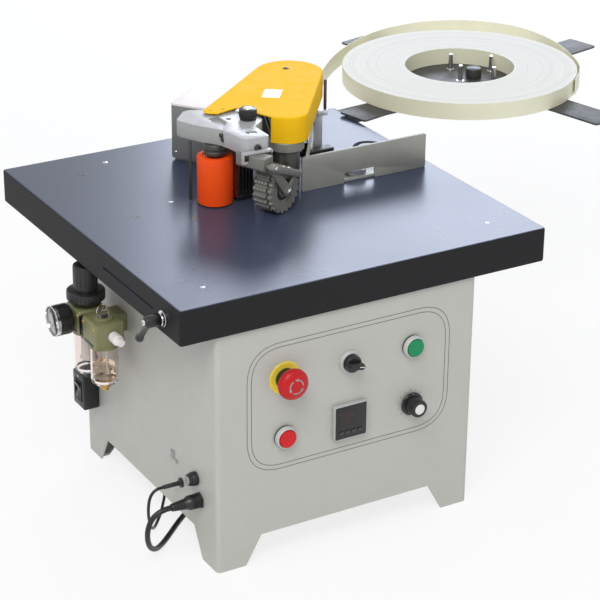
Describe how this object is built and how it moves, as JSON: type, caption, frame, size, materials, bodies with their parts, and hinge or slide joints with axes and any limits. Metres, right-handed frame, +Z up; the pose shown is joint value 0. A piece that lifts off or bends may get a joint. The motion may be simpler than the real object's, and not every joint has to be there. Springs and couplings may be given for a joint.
{
  "type": "edge banding machine",
  "caption": "Bench edge banding machine: sheet cabinet with push controls, thick table with fence, hot-glue head under a cover, pressing rollers, side tape tray and air unit.",
  "frame": {"origin": "centre of the footprint of the machine with its tape tray, on the floor", "axes": "+Z up; +Y from the operator to the back; +X to the right of the operator, towards the tape tray"},
  "size_m": [1.0662, 0.8088, 0.4905],
  "materials": {
    "bezel_grey": "satin",
    "black_plastic": "fine texture",
    "bright_steel": "polished",
    "cast_aluminium": "cast",
    "charcoal_paint": "matt paint",
    "clear_bowl": "clear polycarbonate",
    "controller_grey": "matt",
    "dark_steel": "blackened",
    "drive_grey": "matt",
    "dull_steel": "brushed",
    "lid_cream": "satin",
    "light_powder_coat": "matt powder coat",
    "motor_grey": "painted",
    "olive_zinc": "satin",
    "orange_rubber": "smooth",
    "rocker_black": "gloss",
    "safety_yellow": "satin",
    "slate_laminate": "satin laminate with black edge",
    "start_button_lens": "gloss",
    "stop_button_lens": "gloss",
    "stop_red": "gloss",
    "tank_grey": "cast",
    "tape_cream": "satin",
    "yellow_paint": "gloss paint"
  },
  "bodies": {
    "frame": {"air_unit_body": "olive_zinc", "arm_pivot_post": "dull_steel", "cabinet_floor": "light_powder_coat", "cabinet_shell": "light_powder_coat", "chain_cover": "yellow_paint", "clamp_stud": "bright_steel", "cutter_body": "black_plastic", "drive_chain": "dull_steel", "emergency_stop_base": "safety_yellow", "fuse_holder": "black_plastic", "gear_motor": "motor_grey", "glue_chamber": "dull_steel", "glue_tank": "tank_grey", "head_plate": "dull_steel", "lubricator_bowl": "clear_bowl", "mains_coil": "black_plastic", "mains_inlet": "black_plastic", "mains_lead": "black_plastic", "mains_plug": "black_plastic", "pressure_gauge": "black_plastic", "rear_panel": "light_powder_coat", "regulator_bowl": "clear_bowl", "selector_base": "bezel_grey", "signal_coil": "black_plastic", "signal_connector": "dull_steel", "signal_gland": "black_plastic", "signal_lead": "black_plastic", "speed_drive": "drive_grey", "start_button_bezel": "bezel_grey", "stop_button_bezel": "bezel_grey", "switch_box": "black_plastic", "table_top": "slate_laminate", "tape_guide": "bright_steel", "tape_strand": "tape_cream", "temperature_controller": "controller_grey", "tray_spindle": "dull_steel", "tray_support": "charcoal_paint"},
    "pressing_arm": {"pressing_arm": "cast_aluminium", "roller_spindle": "dark_steel"},
    "tension_knob": {"tension_knob": "black_plastic"},
    "press_roller": {"press_roller": "orange_rubber"},
    "wheel_arm": {"wheel_arm": "cast_aluminium"},
    "feed_wheel": {"feed_wheel": "cast_aluminium"},
    "glue_roller": {"glue_roller": "dull_steel", "glue_sprocket": "dull_steel"},
    "motor_sprocket": {"motor_sprocket": "dull_steel"},
    "tank_lid": {"tank_lid": "lid_cream"},
    "cutter_blade": {"cutter_blade": "bright_steel"},
    "fence": {"fence_plate": "dull_steel"},
    "fence_clamp": {"fence_clamp": "bright_steel"},
    "emergency_stop": {"emergency_stop_button": "stop_red"},
    "stop_button": {"stop_button": "stop_button_lens"},
    "start_button": {"start_button": "start_button_lens"},
    "selector": {"selector_knob": "black_plastic"},
    "speed_knob": {"speed_knob": "black_plastic"},
    "power_rocker": {"power_rocker": "rocker_black"},
    "clamp_lever": {"clamp_lever": "black_plastic"},
    "regulator_knob": {"regulator_knob": "black_plastic"},
    "tape_tray": {"tape_tray": "charcoal_paint"},
    "tape_coil": {"tape_coil": "tape_cream"}
  },
  "joints": [
    {"name": "pressing_arm_swing", "type": "hinge", "parent": "frame", "child": "pressing_arm", "pos_m": [-0.27214, -0.05744, 0.4625], "axis": [0, 0, 1], "range_deg": [-4, 1], "stiffness_Nm_per_rad": 8},
    {"name": "tension_knob_turn", "type": "hinge", "parent": "pressing_arm", "child": "tension_knob", "pos_m": [-0.24814, -0.09544, 0.483], "axis": [0, 0, 1], "range_deg": [-180, 180]},
    {"name": "press_roller_spin", "type": "hinge", "parent": "pressing_arm", "child": "press_roller", "pos_m": [-0.29864, -0.09864, 0.4015], "axis": [0, 0, 1], "continuous": true},
    {"name": "wheel_arm_lift", "type": "hinge", "parent": "pressing_arm", "child": "wheel_arm", "pos_m": [-0.277, -0.17299, 0.443], "axis": [0.3987, -0.9171, 0], "range_deg": [0, 8], "stiffness_Nm_per_rad": 2, "springref_deg": -5.73},
    {"name": "feed_wheel_spin", "type": "hinge", "parent": "wheel_arm", "child": "feed_wheel", "pos_m": [-0.24383, -0.16402, 0.4015], "axis": [0.3987, -0.9171, 0], "continuous": true},
    {"name": "motor_sprocket_spin", "type": "hinge", "parent": "frame", "child": "motor_sprocket", "pos_m": [-0.12214, 0.05256, 0.452], "axis": [0, 0, 1], "continuous": true},
    {"name": "glue_roller_spin", "type": "hinge", "parent": "frame", "child": "glue_roller", "pos_m": [-0.19614, -0.10494, 0.4], "axis": [0, 0, 1], "continuous": true},
    {"name": "tank_lid_hinge", "type": "hinge", "parent": "frame", "child": "tank_lid", "pos_m": [-0.20034, 0.08516, 0.448], "axis": [-0.6, 0.8, 0], "range_deg": [0, 95]},
    {"name": "cutter_blade_slide", "type": "slide", "parent": "frame", "child": "cutter_blade", "axis": [0, -1, 0], "range_m": [0, 0.01], "stiffness_N_per_m": 150},
    {"name": "fence_slide", "type": "slide", "parent": "frame", "child": "fence", "axis": [0, 1, 0], "range_m": [-0.003, 0.003]},
    {"name": "fence_clamp_turn", "type": "hinge", "parent": "frame", "child": "fence_clamp", "pos_m": [-0.09014, -0.10544, 0.378], "axis": [0, 0, 1], "range_deg": [-180, 180]},
    {"name": "emergency_stop_press", "type": "slide", "parent": "frame", "child": "emergency_stop", "axis": [0, 1, 0], "range_m": [0, 0.004], "stiffness_N_per_m": 600},
    {"name": "stop_button_press", "type": "slide", "parent": "frame", "child": "stop_button", "axis": [0, 1, 0], "range_m": [0, 0.003], "stiffness_N_per_m": 400},
    {"name": "start_button_press", "type": "slide", "parent": "frame", "child": "start_button", "axis": [0, 1, 0], "range_m": [0, 0.003], "stiffness_N_per_m": 400},
    {"name": "selector_turn", "type": "hinge", "parent": "frame", "child": "selector", "pos_m": [-0.26029, -0.38444, 0.249], "axis": [0, -1, 0], "range_deg": [-90, 0]},
    {"name": "speed_knob_turn", "type": "hinge", "parent": "frame", "child": "speed_knob", "pos_m": [-0.16879, -0.38444, 0.169], "axis": [0, -1, 0], "range_deg": [-180, 90]},
    {"name": "power_rocker_tilt", "type": "hinge", "parent": "frame", "child": "power_rocker", "pos_m": [-0.46434, -0.02244, 0.105], "axis": [0, 1, 0], "range_deg": [0, 10]},
    {"name": "clamp_lever_turn", "type": "hinge", "parent": "frame", "child": "clamp_lever", "pos_m": [-0.50914, -0.33844, 0.346], "axis": [-1, 0, 0], "range_deg": [-75, 75]},
    {"name": "regulator_knob_turn", "type": "hinge", "parent": "frame", "child": "regulator_knob", "pos_m": [-0.48414, -0.09344, 0.3], "axis": [0, 0, 1], "range_deg": [-180, 180]},
    {"name": "tape_tray_spin", "type": "hinge", "parent": "frame", "child": "tape_tray", "pos_m": [0.27426, 0.14556, 0.376], "axis": [0, 0, 1], "continuous": true},
    {"name": "tape_coil_spin", "type": "hinge", "parent": "frame", "child": "tape_coil", "pos_m": [0.24446, 0.14096, 0.388], "axis": [0, 0, 1], "continuous": true}
  ],
  "couplings": [
    {"joint": "glue_roller_spin", "follows": "motor_sprocket_spin", "ratio": 1.3793},
    {"joint": "tape_coil_spin", "follows": "tape_tray_spin", "ratio": 1}
  ]
}
